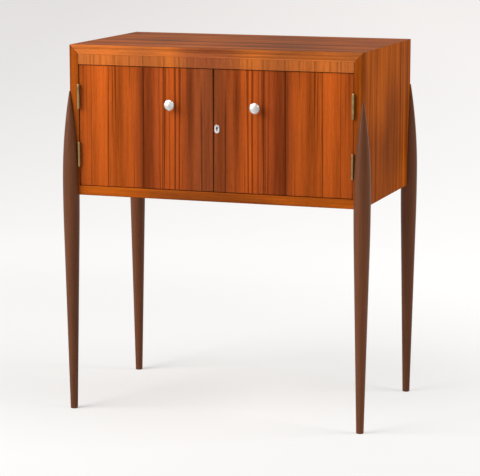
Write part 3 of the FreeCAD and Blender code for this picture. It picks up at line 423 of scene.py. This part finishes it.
leg_wood = plain_wood("leg wood", (0.100, 0.033, 0.013), (0.175, 0.057, 0.021), 420.0, 0.40)
for name, side, face in (("front_left_leg", -1, -1), ("front_right_leg", 1, -1),
                         ("back_left_leg", -1, 1), ("back_right_leg", 1, 1)):
    leg = clasping_leg(f"turned_{name}", side, face, leg_wood)
    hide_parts(name)
    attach(leg, "case")


# Hinges: butt hinges of drawn brass with five knuckles on a capped pin, let in flush between door
# and side and held by countersunk brass screws. Shelf pins of the same brass carry the shelf.
TARNISH, TARNISH_SHADE = (60.0, 60.0, 4.0, 3.3), 0.55


def worked_metal(name, colour, gloss, along=(30.0, 900.0, 900.0)):
    """Metal with fine brushing, by cycles per metre along each axis, and a faint tarnish."""
    material, shader, place = blank_finish(name)
    parts = [reckon(material, "MULTIPLY", value, rate) for value, rate in zip(place, along)]
    where = node_in(material, "ShaderNodeCombineXYZ", X=parts[0], Y=parts[1], Z=parts[2])[0]
    brush = node_in(material, "ShaderNodeTexNoise", Vector=where, Scale=1.0, Detail=3.0)["Fac"]
    stain = streaks(material, place, TARNISH)
    dull = tuple(TARNISH_SHADE * value for value in colour)
    tone = ramp_in(material, stain, ((0.28, dull), (0.55, colour)))
    lay_on(material, shader, tone, brush, gloss, spread=0.22,
           height=brush, strength=0.10, depth=0.0001)
    shader.inputs["Metallic"].default_value = 1.0
    return material


brass = worked_metal("brass", (0.36, 0.235, 0.095), 0.38, (900.0, 900.0, 30.0))
leaves = [name for name in nodes if name.endswith("leaf")]
dress(brass, *leaves, *(name for name in nodes if name.endswith("hinge_screws")))
dress(brass, "hinge_pins", "shelf_pins")
soft_edges(0.0002, *leaves)


# Screws of the case: plain steel, driven from inside into the legs, through the back into the
# boards, and through each door into its knob.
steel = worked_metal("steel", (0.42, 0.41, 0.40), 0.40)
dress(steel, "back_screws", "leg_screws", "left_knob_screw", "right_knob_screw")


# Doors: flat boards faced with one flitch of rosewood opened like a book, so that the stripes of
# the left door mirror those of the right about the meeting line. They hang inset on butt hinges.
door_figure = {
    "place": mirrored_sheets,
    "stripes": ((0.00, (0.266, 0.064, 0.0192)), (0.14, (0.240, 0.049, 0.0112)),
                (0.20, (0.309, 0.058, 0.0101)), (0.29, (0.405, 0.073, 0.0102)),
                (0.37, (0.315, 0.059, 0.0112)), (0.44, (0.240, 0.043, 0.0084)),
                (0.52, (0.220, 0.041, 0.0082)), (0.60, (0.326, 0.062, 0.0081)),
                (0.75, (0.440, 0.083, 0.0102)), (0.86, (0.396, 0.074, 0.0091)),
                (1.00, (0.276, 0.052, 0.0088))),
    # The span of height over which the door's colour is painted from shaded to lit.
    "height": (0.502, 0.756),
    "contrast": 0.9,
    "lines": 0.95,
}
door_veneer = veneer("door veneer", "z", door_figure, mirrored=True, polish=0.012)
dress(door_veneer, "left_door", "right_door")
soft_edges(0.00035, "left_door", "right_door")


# Lock: a cast brass box let into the right door under a flush screwed plate. A blued steel bow
# spring presses on its bolt, which shoots into a brass striking plate in the left door's edge.
lock_brass = worked_metal("lock brass", (0.44, 0.29, 0.12), 0.38)
blued_steel = worked_metal("blued steel", (0.16, 0.17, 0.20), 0.30)
dress(lock_brass, "lock_case", "lock_cover", "lock_bolt", "strike_plate")
dress(steel, "lock_screws", "strike_screws")
dress(blued_steel, "lock_spring")
soft_edges(0.0002, "lock_bolt", "lock_cover", "strike_plate")


# Slip bolt: a drawn brass rod with a thumb piece, in two guides on a screwed plate at the top of
# the left door's inner face. It rises into a brass keeper let into the rail.
dress(brass, "door_bolt_plate", "bolt_plate_screws", "door_bolt_rod", "door_bolt_keeper",
      "keeper_screws")
soft_edges(0.0002, "door_bolt_plate", "door_bolt_keeper")


# Knobs and key plate: turned and pressed metal under bright nickel, soft with use. A screw through
# the door draws each knob tight; the key plate is pinned over the keyhole.
KNOB_X, KNOB_Z, DOOR_FACE = 0.095, 0.6785, -0.190
FLANGE, FLANGE_EASE, NECK, FILLET, FILLET_RISE = 0.0070, 0.0006, 0.0046, 0.0003, 0.0001
RIM, RIM_BULGE, DOME_TIP = 0.0110, 0.0005, 0.0004
FLANGE_TOP, FLANGE_RISE, NECK_LOW, NECK_HIGH = 0.0018, 0.0004, 0.0024, 0.0074
COVE_LOW, RIM_LOW, RIM_HIGH, DOME_TOP = 0.0078, 0.0126, 0.0136, 0.0185
NECK_RINGS, CURVE_RINGS, KNOB_STEPS = 4, 16, 64


def knob_profile():
    """Radius and height along the knob: a flange with eased edges, a neck, a quarter-round cove
    that flares to the rim, a rim that bulges by half a sine, and a dome that closes by a quarter
    round."""
    turn = np.linspace(0, 1, CURVE_RINGS)
    quarter = turn * math.pi / 2
    eased = FLANGE - FLANGE_EASE
    radius = np.concatenate([
        [eased, FLANGE, FLANGE, eased, NECK + FILLET],
        np.full(NECK_RINGS, NECK),
        NECK + (RIM - NECK) * (1 - np.cos(quarter)),
        RIM + RIM_BULGE * np.sin(turn * math.pi),
        RIM * np.cos(quarter[:-1]),
        [DOME_TIP]])
    height = np.concatenate([
        [0.0, FLANGE_RISE, FLANGE_TOP - FLANGE_RISE, FLANGE_TOP,
         FLANGE_TOP + FILLET_RISE],
        np.linspace(NECK_LOW, NECK_HIGH, NECK_RINGS),
        COVE_LOW + (RIM_LOW - COVE_LOW) * np.sin(quarter),
        RIM_LOW + (RIM_HIGH - RIM_LOW) * turn,
        RIM_HIGH + (DOME_TOP - RIM_HIGH) * np.sin(quarter[:-1]),
        [DOME_TOP]])
    return radius, height


def turned_knob(name, middle, material):
    """The profile carried round its axis, which points out of the door."""
    radius, height = (part[:, None] for part in knob_profile())
    angle = np.linspace(0, 2 * math.pi, KNOB_STEPS, endpoint=False)[None, :]
    across = middle + radius * np.cos(angle)
    up = KNOB_Z + radius * np.sin(angle)
    deep = np.broadcast_to(DOOR_FACE - height, across.shape)
    points = np.stack([across, deep, up], axis=-1).reshape(-1, 3)
    return mesh_piece(name, points, ring_faces(len(radius), KNOB_STEPS), material, angle=50)


nickel = worked_metal("nickel", (0.80, 0.77, 0.74), 0.26, (400.0, 60.0, 400.0))
for name, side in (("left", -1), ("right", 1)):
    knob = turned_knob(f"turned_{name}_knob", side * KNOB_X, nickel)
    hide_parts(f"{name}_knob")
    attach(knob, f"{name}_door")
dress(nickel, "key_escutcheon", "key_plate_pins")
soft_edges(0.00025, "key_escutcheon", shortest=0.00018)


# Studio floor: a plain pale sheet of paper that runs back out of sight. It shows a tone of its
# own to the camera and in polish, with painted shade: greyer far back and to the left. Less of
# that tone shows near the feet, where the shadow lies.
FLOOR_REACH, NEAR_ROUND = 40.0, 3.0
PAPER_SPAN = (-1.0, 14.0)
# Paper tones from front to back: low at the front, highest just behind the cabinet, and greyer
# further back as painted shade.
PAPER_AND_PAINTED_SHADE_TONES = ((0.00, (0.75, 0.745, 0.735)), (0.05, (0.785, 0.78, 0.77)),
               (0.11, (0.890, 0.885, 0.870)), (0.16, (0.895, 0.89, 0.875)),
               (0.20, (0.87, 0.86, 0.85)), (0.30, (0.845, 0.83, 0.82)),
               (0.50, (0.81, 0.79, 0.78)), (1.00, (0.775, 0.75, 0.74)))
PAINTED_SHADE_SLANT, GLOW_SPAN, GLOW = (0.945, 0.327), (-1.5, 1.5), (1.09, 1.27)
SHADOW, SHADOW_SPAN, GLOW_SHARE = (-0.45, -0.05, 0.0), (0.2, 2.0), (0.45, 0.88)


def seen_directly(material):
    """1 for rays from the camera, through glass or off a polished surface, and 0 for the rest."""
    rays = node_in(material, "ShaderNodeLightPath")
    seen = reckon(material, "MAXIMUM", rays["Is Camera Ray"], rays["Is Transmission Ray"])
    return reckon(material, "MAXIMUM", seen, rays["Is Glossy Ray"])


floor_mesh = bpy.data.meshes.new("floor")
corners = [(x * FLOOR_REACH, y * FLOOR_REACH, 0) for x, y in ((-1, -1), (1, -1), (1, 1), (-1, 1))]
floor_mesh.from_pydata(corners, [], [(0, 1, 2, 3)])
floor = bpy.data.objects.new("floor", floor_mesh)
bpy.context.scene.collection.objects.link(floor)
paper = bpy.data.materials.new("studio paper")
paper.use_nodes = True
paper.node_tree.nodes.remove(paper.node_tree.nodes["Principled BSDF"])
flat = node_in(paper, "ShaderNodeTexCoord")["Object"]
ground = node_in(paper, "ShaderNodeSeparateXYZ", Vector=flat)
radial = node_in(paper, "ShaderNodeVectorMath", {"operation": "LENGTH"}, i0=flat)["Value"]
back = reckon(paper, "MAXIMUM", ground["Y"], reckon(paper, "SUBTRACT", radial, NEAR_ROUND))
pale = ramp_in(paper, between(paper, back, PAPER_SPAN), PAPER_AND_PAINTED_SHADE_TONES)
# Painted shade across the paper: its glow is weaker to the left and the front, stronger to the
# right and back.
painted_shade_slant = reckon(paper, "MULTIPLY_ADD", ground["X"], PAINTED_SHADE_SLANT[0],
               reckon(paper, "MULTIPLY", ground["Y"], PAINTED_SHADE_SLANT[1]))
glow = node_in(paper, "ShaderNodeEmission", Color=pale,
               Strength=between(paper, painted_shade_slant, GLOW_SPAN, GLOW))[0]
matt = node_in(paper, "ShaderNodeBsdfDiffuse", Color=(0.90, 0.895, 0.885, 1.0))[0]
reach = node_in(paper, "ShaderNodeVectorMath", {"operation": "DISTANCE"},
                i0=flat, i1=SHADOW)["Value"]
share = between(paper, reach, SHADOW_SPAN, GLOW_SHARE, "SMOOTHSTEP")
share = reckon(paper, "MULTIPLY", seen_directly(paper), share)
sheet = node_in(paper, "ShaderNodeMixShader", i0=share, i1=matt, i2=glow)[0]
paper.node_tree.links.new(sheet, paper.node_tree.nodes["Material Output"].inputs["Surface"])
floor_mesh.materials.append(paper)


# Studio light: a dim white surround that looks brighter to the camera, a broad soft lamp to the
# left of the front, a smaller one high at the right and a weak one above.
SURROUND, SURROUND_SEEN = 0.22, 0.58
world = bpy.data.worlds.new("studio")
world.use_nodes = True
bpy.context.scene.world = world
surround = world.node_tree.nodes["Background"]
surround.inputs["Color"].default_value = (1.0, 0.985, 0.97, 1.0)
level = reckon(world, "MULTIPLY_ADD", seen_directly(world), SURROUND_SEEN, SURROUND)
world.node_tree.links.new(level, surround.inputs["Strength"])


def soft_lamp(name, place, aim, size, power):
    """A square area lamp turned towards a point."""
    light = bpy.data.lights.new(name, "AREA")
    light.size = size
    light.energy = power
    lamp = bpy.data.objects.new(name, light)
    lamp.location = place
    away = np.array(place) - np.array(aim)
    tilt = math.acos(away[2] / np.linalg.norm(away))
    lamp.rotation_euler = (tilt, 0.0, math.atan2(away[1], away[0]) + math.pi / 2)
    bpy.context.scene.collection.objects.link(lamp)


soft_lamp("top lamp", (-0.6, -0.9, 2.9), (0, 0, 0.5), 1.6, 15)
soft_lamp("front lamp", (-2.1, -1.9, 2.0), (0, 0, 0.55), 2.2, 108)
soft_lamp("side lamp", (2.4, 0.2, 2.5), (0.2, 0, 0.6), 1.6, 47)


# Camera: a long lens to the right of the cabinet's front and a little above it, at the
# photograph's viewing angle.
EYE, GAZE, FOCAL = (1.4713, -4.2752, 1.1593), (-0.3218, 0.9309, -0.1727), 155.8
lens = bpy.data.cameras.new("camera")
lens.sensor_width = 36.0
lens.sensor_fit = "HORIZONTAL"
lens.lens = FOCAL
camera = bpy.data.objects.new("camera", lens)
camera.location = EYE
camera.rotation_euler = (math.acos(-GAZE[2]), 0.0, math.atan2(GAZE[1], GAZE[0]) - math.pi / 2)
bpy.context.scene.collection.objects.link(camera)
bpy.context.scene.camera = camera
bpy.context.scene.view_settings.view_transform = "Standard"
